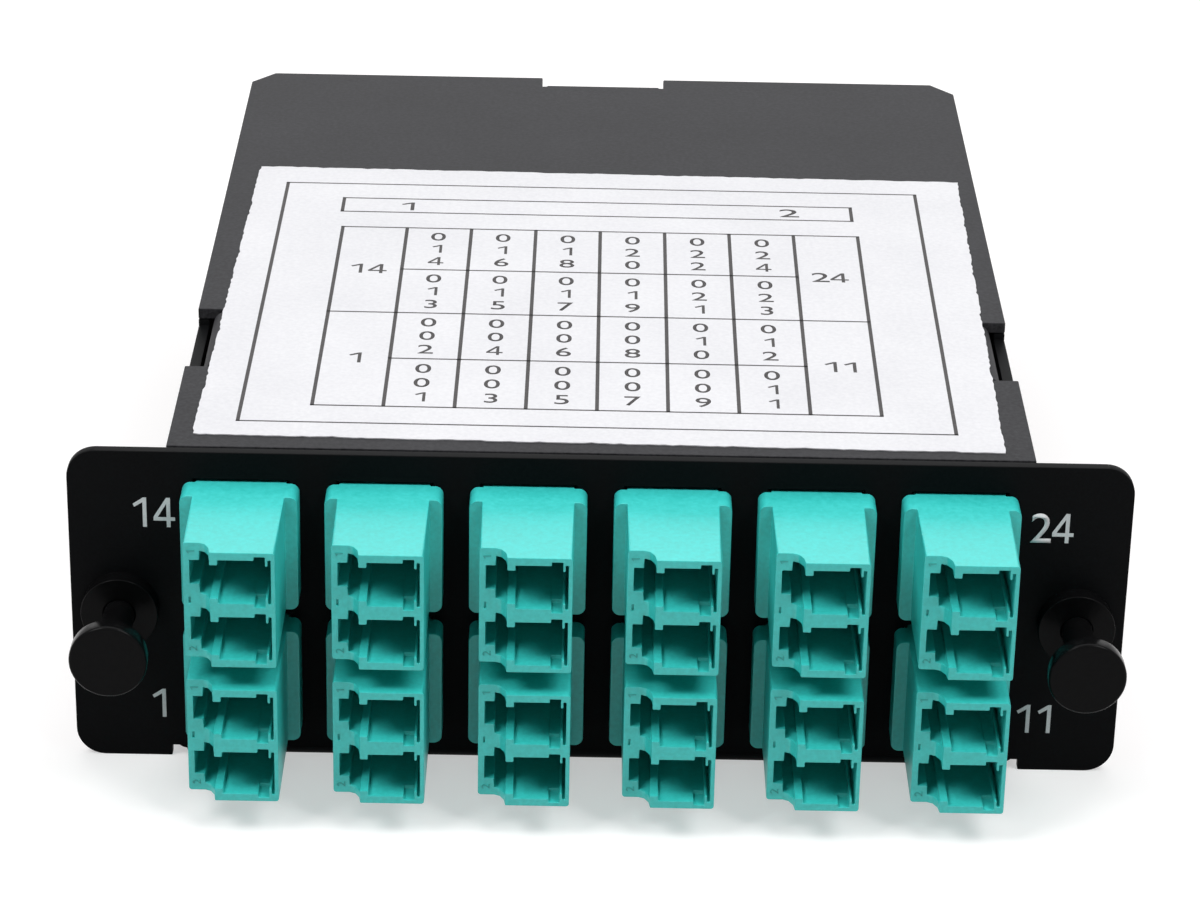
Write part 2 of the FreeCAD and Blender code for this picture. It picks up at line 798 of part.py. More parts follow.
adapter = lc_adapter()
adapter_clip = spring_clip(adapter_width, adapter_height)
adapter_clip.translate(Vector(0, sheet, 0))
plug_pair = Part.Compound([lc_plug(axis) for axis in port_axes()])
sleeves = []
for number, place in enumerate(adapter_places(), 1):
    for name, shape in (("lc_adapter", adapter), ("lc_clip", adapter_clip), ("lc_plug_pair", plug_pair)):
        piece = shape.copy()
        piece.translate(place)
        save("%s_%02d" % (name, number), piece)
    for axis in port_axes():
        sleeves.append(alignment_sleeve(place + axis))
save("alignment_sleeves", Part.Compound(sleeves))

for side, word in ((-1, "left"), (1, "right")):
    save("grommet_" + word, grommet(side * plunger_x))
    save("plunger_" + word, plunger(side * plunger_x))

for number, centre in enumerate(mpo_centres(), 1):
    save("mpo_adapter_%d" % number, mpo_adapter(centre))
    save("mpo_clip_%d" % number, mpo_clip(centre))
    save("mpo_plug_%d" % number, mpo_plug(centre))
    save("fanout_block_%d" % number, fanout_block(centre))
save("fibre_spool", fibre_spool())
save("fibre_harness_1", fibre_harness(0))
save("fibre_harness_2", fibre_harness(1))
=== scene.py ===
import json
import math
import bpy
from mathutils import Matrix, Vector

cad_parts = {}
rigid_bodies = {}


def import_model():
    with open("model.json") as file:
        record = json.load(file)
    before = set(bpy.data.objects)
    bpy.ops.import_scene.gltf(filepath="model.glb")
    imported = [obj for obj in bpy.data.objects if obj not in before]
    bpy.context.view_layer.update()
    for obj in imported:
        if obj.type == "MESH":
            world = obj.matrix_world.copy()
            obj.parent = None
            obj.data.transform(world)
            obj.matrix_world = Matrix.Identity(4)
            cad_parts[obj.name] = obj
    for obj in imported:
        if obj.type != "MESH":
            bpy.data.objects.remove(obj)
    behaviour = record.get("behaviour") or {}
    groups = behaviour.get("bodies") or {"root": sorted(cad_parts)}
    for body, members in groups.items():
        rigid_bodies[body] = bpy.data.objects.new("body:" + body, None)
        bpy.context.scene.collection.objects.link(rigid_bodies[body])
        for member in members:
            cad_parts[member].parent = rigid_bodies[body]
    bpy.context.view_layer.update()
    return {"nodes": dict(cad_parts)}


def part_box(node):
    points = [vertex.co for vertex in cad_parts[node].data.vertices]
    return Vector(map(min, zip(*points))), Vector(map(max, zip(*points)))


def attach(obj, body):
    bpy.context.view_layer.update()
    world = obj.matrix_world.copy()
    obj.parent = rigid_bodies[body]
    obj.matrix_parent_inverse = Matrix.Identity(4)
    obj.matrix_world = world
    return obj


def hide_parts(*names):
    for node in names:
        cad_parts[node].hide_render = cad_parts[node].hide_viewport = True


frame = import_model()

# ---- Base tray ------------------------------------------------------------------------------
# Panel, floor, side walls and rear wall, folded from one steel sheet.  The sheet is
# powder coated black after folding, so its cut edges are slightly rounded by the coat.
MM = 0.001
sheet_edge = 0.12 * MM


def choose(*chosen):
    """Select these objects only, with the last one active."""
    for other in bpy.context.view_layer.objects:
        other.select_set(False)
    for piece in chosen:
        piece.select_set(True)
    bpy.context.view_layer.objects.active = chosen[-1]


def finish_modifiers(piece):
    """Apply every modifier of a piece, in order."""
    choose(piece)
    for modifier in list(piece.modifiers):
        bpy.ops.object.modifier_apply(modifier=modifier.name)


def copy_of_node(node, name):
    """A copy of a CAD node's mesh, joined at its seams, as a piece of its own."""
    piece = bpy.data.objects.new(name, frame["nodes"][node].data.copy())
    piece.data.name = name
    bpy.context.scene.collection.objects.link(piece)
    choose(piece)
    bpy.ops.mesh.customdata_custom_splitnormals_clear()
    bpy.ops.object.mode_set(mode="EDIT")
    bpy.ops.mesh.select_all(action="SELECT")
    bpy.ops.mesh.remove_doubles(threshold=0.001 * MM)
    bpy.ops.mesh.dissolve_limited(angle_limit=math.radians(0.5))
    bpy.ops.object.mode_set(mode="OBJECT")
    return piece


def shade_softly(piece, angle=30):
    """Shade a piece smooth across its roundings, with its flat faces kept flat."""
    choose(piece)
    bpy.ops.object.shade_smooth_by_angle(angle=math.radians(angle))
    flat = piece.modifiers.new("flat faces", "WEIGHTED_NORMAL")
    flat.keep_sharp = True
    finish_modifiers(piece)


def round_edges(piece, width, segments=2, angle=30):
    """Round a piece's sharp edges, and shade it smooth across them."""
    bevel = piece.modifiers.new("rounded edges", "BEVEL")
    bevel.width = width
    bevel.segments = segments
    bevel.limit_method = "ANGLE"
    bevel.angle_limit = math.radians(angle)
    bevel.use_clamp_overlap = False
    finish_modifiers(piece)
    shade_softly(piece, angle)


def dress(piece, material, body, slot, *nodes):
    """Give a piece its material, its body and the nodes that it stands for. The finish slot argument
    is not used.
    """
    piece.data.materials.clear()
    piece.data.materials.append(material)
    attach(piece, body)
    if nodes:
        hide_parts(*nodes)


def place(node, x, y):
    """Put a node of a material at a tidy spot in its graph."""
    node.location = (x, y)
    return node


def make_grain_group():
    """Fine even grain in two sizes, as on powder coat, moulded plastic and paper."""
    group = bpy.data.node_groups.new("fine_grain", "ShaderNodeTree")
    sockets = group.interface
    for socket, value in (("Size", 0.2), ("Patchiness", 0.3)):
        entrance = sockets.new_socket(socket, in_out="INPUT", socket_type="NodeSocketFloat")
        entrance.default_value = value
    for socket in ("Height", "Patches"):
        sockets.new_socket(socket, in_out="OUTPUT", socket_type="NodeSocketFloat")
    nodes = group.nodes
    links = group.links
    entry = place(nodes.new("NodeGroupInput"), -700, 0)
    leave = place(nodes.new("NodeGroupOutput"), 500, 0)
    coords = place(nodes.new("ShaderNodeTexCoord"), -700, 250)
    scale = place(nodes.new("ShaderNodeMath"), -500, 0)
    scale.operation = "DIVIDE"
    scale.inputs[0].default_value = 1000
    links.new(entry.outputs["Size"], scale.inputs[1])
    fine = place(nodes.new("ShaderNodeTexNoise"), -250, 150)
    fine.inputs["Detail"].default_value = 3
    fine.inputs["Roughness"].default_value = 0.6
    links.new(coords.outputs["Object"], fine.inputs["Vector"])
    links.new(scale.outputs[0], fine.inputs["Scale"])
    broad = place(nodes.new("ShaderNodeTexNoise"), -250, -150)
    broad.inputs["Scale"].default_value = 90
    broad.inputs["Detail"].default_value = 4
    links.new(coords.outputs["Object"], broad.inputs["Vector"])
    links.new(fine.outputs["Fac"], leave.inputs["Height"])
    spreads = []
    for noise, y in ((fine, 100), (broad, -150)):
        spread = place(nodes.new("ShaderNodeMapRange"), 0, y)
        spread.inputs["From Min"].default_value = 0.3
        spread.inputs["From Max"].default_value = 0.7
        links.new(noise.outputs["Fac"], spread.inputs["Value"])
        spreads.append(spread)
    mix = place(nodes.new("ShaderNodeMix"), 250, -50)
    mix.data_type = "FLOAT"
    links.new(entry.outputs["Patchiness"], mix.inputs[0])
    links.new(spreads[0].outputs["Result"], mix.inputs[2])
    links.new(spreads[1].outputs["Result"], mix.inputs[3])
    links.new(mix.outputs[0], leave.inputs["Patches"])
    return group


fine_grain = make_grain_group()


def grained_finish(name, dark, light, rough, grain, depth,
                   patchiness=0.3, specular=0.5, metallic=0.0):
    """A coated or moulded finish: colour and roughness vary a little with a fine grain.

    dark and light are the ends of its colour, rough the ends of its roughness, grain
    the size of its grain and depth that grain's height, both in millimetres.
    patchiness is how far broad patches take the place of the fine grain.
    """
    material = bpy.data.materials.new(name)
    material.use_nodes = True
    nodes = material.node_tree.nodes
    links = material.node_tree.links
    shader = nodes["Principled BSDF"]
    shader.inputs["Specular IOR Level"].default_value = specular
    shader.inputs["Metallic"].default_value = metallic
    texture = place(nodes.new("ShaderNodeGroup"), -700, 0)
    texture.node_tree = fine_grain
    texture.inputs["Size"].default_value = grain
    texture.inputs["Patchiness"].default_value = patchiness
    colour = place(nodes.new("ShaderNodeMix"), -350, 200)
    colour.data_type = "RGBA"
    colour.inputs[6].default_value = (*dark, 1)
    colour.inputs[7].default_value = (*light, 1)
    links.new(texture.outputs["Patches"], colour.inputs[0])
    links.new(colour.outputs[2], shader.inputs["Base Color"])
    roughness = place(nodes.new("ShaderNodeMapRange"), -350, -50)
    roughness.inputs["To Min"].default_value = rough[0]
    roughness.inputs["To Max"].default_value = rough[1]
    links.new(texture.outputs["Patches"], roughness.inputs["Value"])
    links.new(roughness.outputs["Result"], shader.inputs["Roughness"])
    bump = place(nodes.new("ShaderNodeBump"), -350, -350)
    bump.inputs["Strength"].default_value = 1.0
    bump.inputs["Distance"].default_value = depth * MM
    links.new(texture.outputs["Height"], bump.inputs["Height"])
    links.new(bump.outputs["Normal"], shader.inputs["Normal"])
    return material


black_coat = grained_finish("black_powder_coat", (0.003, 0.0031, 0.0034), (0.0055, 0.0058, 0.0063),
                            (0.42, 0.55), 0.25, 0.006, specular=0.03)
tray = copy_of_node("base_tray", "folded_tray")
round_edges(tray, sheet_edge)
panel_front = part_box("base_tray")[0][1]
# The rounding overshoots at the short ends of the front fold, and is pressed back flush.
for corner in tray.data.vertices:
    corner.co.y = max(corner.co.y, panel_front)
    corner.co.z = max(corner.co.z, 0)
dress(tray, black_coat, "housing", "black_sheet", "base_tray")

# ---- Port numbers on the panel --------------------------------------------------------------
# Four plain numbers, screen printed in white ink beside the first and last adapters of
# each row.  The ink is a film a few hundredths of a millimetre thick.
ink_height = 3.3 * MM
ink_film = 0.015 * MM
figure_step = 0.66
figure_boldness = 0.004
figure_outlines = {
    "1": [[(0.33, 0), (0.45, 0), (0.45, 1), (0.35, 1), (0.03, 0.78), (0.08, 0.68), (0.33, 0.84)]],
    "4": [[(0.4, 0), (0.52, 0), (0.52, 1), (0.4, 1)],
          [(0, 0.22), (0.4, 0.22), (0.4, 0.34), (0.13, 0.34), (0.4, 0.8), (0.4, 1), (0, 0.35)],
          [(0.52, 0.22), (0.66, 0.22), (0.66, 0.34), (0.52, 0.34)]],
}
numbers_on_panel = [
    ("14", -45.25 * MM, 28.2 * MM),
    ("1", -45.3 * MM, 6.2 * MM),
    ("24", 45.9 * MM, 28.2 * MM),
    ("11", 45.4 * MM, 6.1 * MM),
]


def join(pieces, name):
    """Join several pieces into one and name it."""
    choose(*pieces)
    if len(pieces) > 1:
        bpy.ops.object.join()
    piece = bpy.context.object
    piece.name = name
    piece.data.name = name
    return piece


def flat_outline(corners):
    """A flat face through corner points on the floor plane, as a piece."""
    mesh = bpy.data.meshes.new("outline")
    mesh.from_pydata([(x, y, 0) for x, y in corners], [], [list(range(len(corners)))])
    piece = bpy.data.objects.new("outline", mesh)
    bpy.context.scene.collection.objects.link(piece)
    return piece


def figure(digit):
    """One figure as a flat face, of height 1, standing on the line from x = 0."""
    if digit in figure_outlines:
        return join([flat_outline(corners) for corners in figure_outlines[digit]], "figure")
    bpy.ops.object.text_add()
    piece = bpy.context.object
    piece.data.body = digit
    piece.data.resolution_u = 6
    piece.data.offset = figure_boldness
    choose(piece)
    bpy.ops.object.convert(target="MESH")
    piece = bpy.context.object
    corners = [vertex.co for vertex in piece.data.vertices]
    low = [min(corner[i] for corner in corners) for i in (0, 1)]
    high = max(corner.y for corner in corners)
    piece.data.transform(Matrix.Scale(1 / (high - low[1]), 4)
                         @ Matrix.Translation((-low[0], -low[1], 0)))
    return piece


def written(text, height, film, stretch=1.0):
    """A number as a thin solid, lying on the floor plane about its own middle."""
    figures = []
    for place_in_text, digit in enumerate(text):
        piece = figure(digit)
        piece.data.transform(Matrix.Translation((place_in_text * figure_step, 0, 0)))
        figures.append(piece)
    number = join(figures, "number")
    corners = [vertex.co for vertex in number.data.vertices]
    left = min(corner.x for corner in corners)
    right = max(corner.x for corner in corners)
    number.data.transform(Matrix.Diagonal((height * stretch, height, 1, 1))
                          @ Matrix.Translation((-(left + right) / 2, -0.5, 0)))
    choose(number)
    bpy.ops.object.mode_set(mode="EDIT")
    bpy.ops.mesh.select_all(action="SELECT")
    bpy.ops.mesh.remove_doubles(threshold=0.0001 * MM)
    bpy.ops.mesh.extrude_region_move(TRANSFORM_OT_translate={"value": (0, 0, film)})
    bpy.ops.mesh.select_all(action="SELECT")
    bpy.ops.mesh.normals_make_consistent(inside=False)
    bpy.ops.object.mode_set(mode="OBJECT")
    return number


stand_up = Matrix.Rotation(math.radians(90), 4, "X")
white_ink = grained_finish("white_screen_ink", (0.52, 0.53, 0.54), (0.66, 0.67, 0.68),
                           (0.45, 0.6), 0.15, 0.003)
numbers = []
for text, x, z in numbers_on_panel:
    number = written(text, ink_height, ink_film)
    number.data.transform(Matrix.Translation((x, panel_front, z)) @ stand_up)
    numbers.append(number)
dress(join(numbers, "panel_numbers"), white_ink, "housing", "label_paper")

# ---- Spool, fan-outs and fibres -------------------------------------------------------------
# The slack fibres loop round a low moulded wall on the floor.  Each twelve come out of a
# fan-out block as thin jacketed strands, and their jackets are a soft matt plastic.
dark_mould = grained_finish("dark_moulding", (0.012, 0.012, 0.013), (0.02, 0.02, 0.021),
                            (0.4, 0.55), 0.3, 0.006)
jacket = grained_finish("fibre_jacket", (0.03, 0.34, 0.33), (0.05, 0.45, 0.43),
                        (0.5, 0.65), 0.4, 0.003)


def paint(node, material):
    """Give a CAD node that stays as it is a finish."""
    mesh = frame["nodes"][node].data
    mesh.materials.clear()
    mesh.materials.append(material)


paint("fibre_spool", dark_mould)
for number in (1, 2):
    paint("fanout_block_%d" % number, dark_mould)
    paint("fibre_harness_%d" % number, jacket)

# ---- Duplex adapters ------------------------------------------------------------------------
# Twelve moulded housings in two rows of six.  Each is one glossy aqua moulding with two
# ports, whose thin walls and ribs have small rounded edges, and a small number by each port,
# coloured a darker aqua as painted shade.
mould_edge = 0.09 * MM
corner_round = 0.28 * MM
corner_band = 1.35 * MM
long_edge = 2.0 * MM
edge_slack = 0.01 * MM
strip_reach_x = 2.5 * MM
strip_reach_y = 3.0 * MM
strip_inset = 0.04 * MM
mark_height = 0.8 * MM
mark_film = 0.05 * MM
mark_from_side = 0.78 * MM
mark_from_end = 1.0 * MM
slot_from_side = 0.6 * MM
slot_size = (0.2 * MM, 0.6 * MM, 0.7 * MM)
groove_length = 2.2 * MM
groove_side = (8.41 * MM, 9.61 * MM)
groove_fill_length = 11.0 * MM
groove_levels = ((0.41 * MM, 0.86 * MM), (5.56 * MM, 6.01 * MM),
                 (6.66 * MM, 7.11 * MM), (11.81 * MM, 12.26 * MM))


def select_edges(piece, wanted):
    """Select the edges whose two ends pass a test, and nothing else."""
    bpy.ops.mesh.select_mode(type="EDGE")
    bpy.ops.mesh.select_all(action="DESELECT")
    bpy.ops.object.mode_set(mode="OBJECT")
    corners = piece.data.vertices
    for edge in piece.data.edges:
        edge.select = wanted(corners[edge.vertices[0]].co, corners[edge.vertices[1]].co)
    bpy.ops.object.mode_set(mode="EDIT")


def combine(piece, other, operation):
    """Cut another solid from a piece or add it to the piece, and drop the other."""
    change = piece.modifiers.new("change", "BOOLEAN")
    change.object = other
    change.operation = operation
    change.solver = "EXACT"
    finish_modifiers(piece)
    choose(other)
    bpy.ops.object.delete()


def block(middle, size):
    """A block about a point."""
    bpy.ops.mesh.primitive_cube_add(size=1)
    piece = bpy.context.object
    piece.data.transform(Matrix.Translation(middle) @ Matrix.Diagonal((*size, 1)))
    return piece


aqua = grained_finish("aqua_moulding", (0.026, 0.47, 0.43), (0.045, 0.59, 0.56),
                      (0.34, 0.46), 0.5, 0.006, specular=0.6)
first_housing = copy_of_node("lc_adapter_01", "lc_housing_01")
first_low, first_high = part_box("lc_adapter_01")
choose(first_housing)
bpy.ops.object.mode_set(mode="EDIT")
select_edges(first_housing, lambda a, b: abs(a.y - b.y) > long_edge
             and abs(a.x - b.x) < edge_slack
             and not first_low[0] + corner_band < a.x < first_high[0] - corner_band)
bpy.ops.mesh.bevel(offset=corner_round, segments=3, clamp_overlap=True)
bpy.ops.object.mode_set(mode="OBJECT")

# The set-back strip beside the ports is the flat front face nearest the side wall.
strip_faces = [face for face in first_housing.data.polygons
               if face.normal.y < -0.99 and face.center.x < first_low[0] + strip_reach_x
               and face.center.y < first_low[1] + strip_reach_y]
strip_face = max(strip_faces, key=lambda face: face.area)
strip_y = first_housing.data.vertices[strip_face.vertices[0]].co.y
strip_side = first_low[0] + corner_band - strip_inset
slot_middle = (strip_side + slot_from_side, strip_y, (first_low[2] + first_high[2]) / 2)
combine(first_housing, block(slot_middle, slot_size), "DIFFERENCE")
# The grooves in the ports' side wall end behind the latch, so their far part is filled.
for low_z, high_z in groove_levels:
    fill_middle = (first_low[0] + (groove_side[0] + groove_side[1]) / 2,
                   first_low[1] + groove_length + groove_fill_length / 2,
                   first_low[2] + (low_z + high_z) / 2)
    fill_size = (groove_side[1] - groove_side[0], groove_fill_length, high_z - low_z)
    combine(first_housing, block(fill_middle, fill_size), "UNION")
round_edges(first_housing, mould_edge)


def from_first(number):
    """The way from the first adapter to another."""
    return Vector(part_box("lc_adapter_%02d" % number)[0]) - Vector(first_low)


for number in range(2, 13):
    housing = first_housing.copy()
    housing.data = first_housing.data.copy()
    housing.name = "lc_housing_%02d" % number
    housing.data.name = housing.name
    bpy.context.scene.collection.objects.link(housing)
    housing.data.transform(Matrix.Translation(from_first(number)))
for number in range(1, 13):
    housing = bpy.data.objects["lc_housing_%02d" % number]
    dress(housing, aqua, "housing", "aqua_plastic", "lc_adapter_%02d" % number)
marks = []
for number in range(1, 13):
    for digit, z in (("1", first_high[2] - mark_from_end), ("2", first_low[2] + mark_from_end)):
        mark = written(digit, mark_height, mark_film)
        mark_place = from_first(number) + Vector((strip_side + mark_from_side, strip_y, z))
        mark.data.transform(Matrix.Translation(mark_place)
                            @ stand_up @ Matrix.Rotation(math.radians(90), 4, "Z"))
        marks.append(mark)
# The numbers are of the same aqua moulding. Their darker aqua is painted shade, standing in for the
# shade along the edges of moulded marks.
mark_painted_shade = grained_finish("aqua_marks_painted_shade", (0.02, 0.33, 0.3), (0.03, 0.38, 0.35),
                           (0.3, 0.42), 0.5, 0.004, specular=0.45)
dress(join(marks, "port_marks"), mark_painted_shade, "housing", "aqua_plastic")

# ---- Clips, sleeves and inner plugs ---------------------------------------------------------
# Each adapter is held by a bent spring-steel strip behind the panel.  Split ceramic sleeves
# line up the ferrules, and two short plugs sit in the rear of every adapter.
spring_steel = grained_finish("spring_steel", (0.42, 0.42, 0.43), (0.52, 0.52, 0.53),
                              (0.25, 0.4), 0.4, 0.003, metallic=1.0)
ceramic = grained_finish("ground_ceramic", (0.78, 0.78, 0.75), (0.85, 0.85, 0.82),
                         (0.15, 0.25), 0.3, 0.001)
plug_resin = grained_finish("plug_resin", (0.55, 0.5, 0.38), (0.62, 0.57, 0.44),
                            (0.35, 0.5), 0.4, 0.004)
paint("alignment_sleeves", ceramic)
for number in range(1, 13):
    paint("lc_clip_%02d" % number, spring_steel)
    paint("lc_plug_pair_%02d" % number, plug_resin)

# ---- Rear adapters --------------------------------------------------------------------------
# Two black moulded rear adapters with a keyed port at each end, each held by a spring clip,
# and the plug of one harness inside each.
rear_mould_edge = 0.12 * MM
for number in (1, 2):
    rear = copy_of_node("mpo_adapter_%d" % number, "mpo_housing_%d" % number)
    round_edges(rear, rear_mould_edge)
    dress(rear, dark_mould, "housing", "black_plastic", "mpo_adapter_%d" % number)
    paint("mpo_clip_%d" % number, spring_steel)
    paint("mpo_plug_%d" % number, dark_mould)

# ---- Cover ----------------------------------------------------------------------------------
# A flat sheet with three tabs folded down behind the walls.  Its coat is a dark grey, a
# little paler than the tray's, with a coarser grain and broad faint patches.
cover_grey = grained_finish("grey_powder_coat", (0.009, 0.009, 0.0105), (0.042, 0.042, 0.0455),
                            (0.5, 0.65), 0.45, 0.008, patchiness=0.25, specular=0.1)
cover = copy_of_node("top_cover", "folded_cover")
round_edges(cover, sheet_edge)
dress(cover, cover_grey, "housing", "grey_sheet", "top_cover")

# ---- Cover screws ---------------------------------------------------------------------------
# Two small slotted screws, one through each side wall into a tab of the cover.  They are
# countersunk flush into the wall and blackened.
black_steel = grained_finish("blackened_steel", (0.02, 0.02, 0.022), (0.05, 0.05, 0.052),
                             (0.3, 0.45), 0.3, 0.003, metallic=1.0)
paint("cover_screws", black_steel)

# ---- Paper label ----------------------------------------------------------------------------
# White self-adhesive paper, cut by hand so that its edges wander a little, and laid askew on
# the cover.  A printed chart gives the port numbers, in lines and digits of dark grey toner.
label_low, label_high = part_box("cover_label")
label_turn = math.radians(-0.8)
label_width = 82.8 * MM
label_length = 75.2 * MM
paper_steps = 110
edge_wander = 0.3 * MM
edge_sharpness = 31
# Each wave of the cut edge: its share, its turn in radians per millimetre and its phase.
edge_waves = ((0.35, 0.2, 1), (0.25, 0.7, 2), (0.2, 1.9, 3), (0.2, 4.1, 5))
label_middle = (Vector(label_low) + Vector(label_high)) / 2
paper_top = label_high[2]
paper_bottom = label_low[2]


def wander(along, phase):
    """How far the hand-cut edge strays at a distance along it."""
    return edge_wander * sum(share * math.sin(turn * along / MM + times * phase)
                             for share, turn, times in edge_waves)


bpy.ops.mesh.primitive_grid_add(x_subdivisions=paper_steps, y_subdivisions=paper_steps, size=1)
paper = bpy.context.object
paper.name = "paper_label"
for vertex in paper.data.vertices:
    x = vertex.co.x * label_width
    y = vertex.co.y * label_length
    across = 2 * vertex.co.x
    up = 2 * vertex.co.y
    vertex.co.x = x - across ** edge_sharpness * abs(wander(y, 1.0 + across))
    vertex.co.y = y - up ** edge_sharpness * abs(wander(x, 2.0 + up))
    vertex.co.z = 0
solid = paper.modifiers.new("thickness", "SOLIDIFY")
solid.thickness = paper_top - paper_bottom
solid.offset = 1
finish_modifiers(paper)
paper.data.transform(Matrix.Translation((label_middle.x, label_middle.y, paper_bottom))
                     @ Matrix.Rotation(label_turn, 4, "Z"))
paper_white = grained_finish("label_paper", (0.6, 0.6, 0.625), (0.7, 0.7, 0.72),
                             (0.7, 0.8), 0.5, 0.012, patchiness=0.4, specular=0.2)
dress(paper, paper_white, "housing", "label_paper", "cover_label")

toner_film = 0.01 * MM
line_width = 0.26 * MM
upright_width = 0.4 * MM
print_turn = math.radians(-0.3)
border = (-37.3 * MM, 36.3 * MM, -33.8 * MM, 32.8 * MM)
strip = (-30.4 * MM, 28.5 * MM, 24.1 * MM, 28.3 * MM)
chart = (-30.0 * MM, 28.9 * MM, -29.6 * MM, 19.4 * MM)
chart_left, chart_right, chart_low, chart_high = chart
cell = (chart_right - chart_left) / 8
row = (chart_high - chart_low) / 4
strip_digit = 2.4 * MM
end_digit = 2.6 * MM
cell_digit = 2.3 * MM
cell_digit_step = 3.6 * MM
toner_pieces = []


def rule(x0, y0, x1, y1):
    """A printed line from one point to another, along X or Y."""
    middle = ((x0 + x1) / 2, (y0 + y1) / 2, toner_film / 2)
    size = (abs(x1 - x0) + upright_width, abs(y1 - y0) + line_width, toner_film)
    toner_pieces.append(block(middle, size))


def frame_lines(left, right, low, high):
    """The four lines of a printed box."""
    rule(left, low, right, low)
    rule(left, high, right, high)
    rule(left, low, left, high)
    rule(right, low, right, high)


def digits(text, x, y, height, stretch=1.0):
    """Printed digits about a point."""
    piece = written(text, height, toner_film, stretch)
    piece.data.transform(Matrix.Translation((x, y, 0)))
    toner_pieces.append(piece)


for box in (border, strip, chart):
    frame_lines(*box)
for column in range(1, 8):
    x = chart_left + column * cell
    rule(x, chart_low, x, chart_high)
for line in (1, 3):
    y = chart_low + line * row
    rule(chart_left + cell, y, chart_right - cell, y)
rule(chart_left, chart_low + 2 * row, chart_right, chart_low + 2 * row)
digits("1", -22.9 * MM, 26.0 * MM, strip_digit, 1.5)
digits("2", 21.3 * MM, 26.2 * MM, strip_digit, 1.5)
for text, x, rows_up in (("14", chart_left + cell / 2, 3), ("1", chart_left + cell / 2, 1),
                         ("24", chart_right - cell / 2, 3), ("11", chart_right - cell / 2, 1)):
    digits(text, x, chart_low + rows_up * row, end_digit, 1.2)
# Each cell has its port's three digits one above the other.
for line in range(4):
    for column in range(6):
        port = 1 + 2 * column + line % 2 + 12 * (line // 2)
        for steps_up, digit in zip((1, 0, -1), "%03d" % port):
            digits(digit, chart_left + (column + 1.5) * cell,
                   chart_low + (line + 0.5) * row + steps_up * cell_digit_step, cell_digit, 1.15)
toner = join(toner_pieces, "label_print")
toner.data.transform(Matrix.Translation((label_middle.x, label_middle.y, paper_top))
                     @ Matrix.Rotation(print_turn, 4, "Z"))
toner_grey = grained_finish("printed_toner", (0.03, 0.029, 0.03), (0.085, 0.08, 0.08),
                            (0.6, 0.75), 0.2, 0.002, specular=0.2)
dress(toner, toner_grey, "housing", "label_paper")

# ---- Grommets and plungers ------------------------------------------------------------------
# A nylon grommet sits in each end of the panel, its barrel split into four legs behind.  A
# plunger slides in it, shown pulled out, with a flat head whose rim is rounded.
nylon = grained_finish("black_nylon", (0.0026, 0.0026, 0.0028), (0.0042, 0.0042, 0.0045),
                       (0.16, 0.24), 0.6, 0.001, specular=0.05)
turn_sides = 96
plunger_head_radius = 3.93 * MM
plunger_head_thickness = 2.0 * MM
plunger_shaft_radius = 1.6 * MM
plunger_rim = 0.35 * MM
grommet_flange_radius = 3.93 * MM
grommet_collar_radius = 2.45 * MM
grommet_leg_radius = 2.25 * MM
grommet_bore_radius = 1.65 * MM
grommet_flange_thickness = 2.0 * MM
grommet_collar_length = 1.2 * MM
grommet_slot = 0.5 * MM
grommet_edge = 0.08 * MM
overshoot = 1.0 * MM


def length_of(node):
    """The length of a turned node along Y."""
    low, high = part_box(node)
    return high[1] - low[1]


def lie_in(node):
    """From a piece turned about Z, starting at 0, to one turned about a node's axis along +Y."""
    low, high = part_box(node)
    return (Matrix.Translation(((low[0] + high[0]) / 2, low[1], (low[2] + high[2]) / 2))
            @ Matrix.Rotation(math.radians(-90), 4, "X"))


def select_faces(piece, wanted):
    """Select the faces whose centre and normal pass a test, and nothing else."""
    bpy.ops.mesh.select_all(action="DESELECT")
    bpy.ops.object.mode_set(mode="OBJECT")
    for polygon in piece.data.polygons:
        polygon.select = wanted(polygon.center, polygon.normal)
    bpy.ops.object.mode_set(mode="EDIT")
    bpy.ops.mesh.select_mode(type="FACE")


def round_bar(radius, low, high, name):
    """A round bar about Z between two heights."""
    bpy.ops.mesh.primitive_cylinder_add(vertices=turn_sides, radius=radius, depth=high - low)
    piece = bpy.context.object
    piece.name = name
    piece.data.transform(Matrix.Translation((0, 0, (low + high) / 2)))
    return piece


for word in ("left", "right"):
    plunger = round_bar(plunger_head_radius, 0, plunger_head_thickness, "push_plunger_" + word)
    round_edges(plunger, plunger_rim, segments=4, angle=40)
    shaft = round_bar(plunger_shaft_radius, plunger_head_thickness / 2,
                      length_of("plunger_" + word), "shaft")
    round_edges(shaft, plunger_rim, segments=4, angle=40)
    combine(plunger, shaft, "UNION")
    shade_softly(plunger, 40)
    plunger.data.transform(lie_in("plunger_" + word))
    dress(plunger, nylon, "plunger_" + word, "black_nylon", "plunger_" + word)

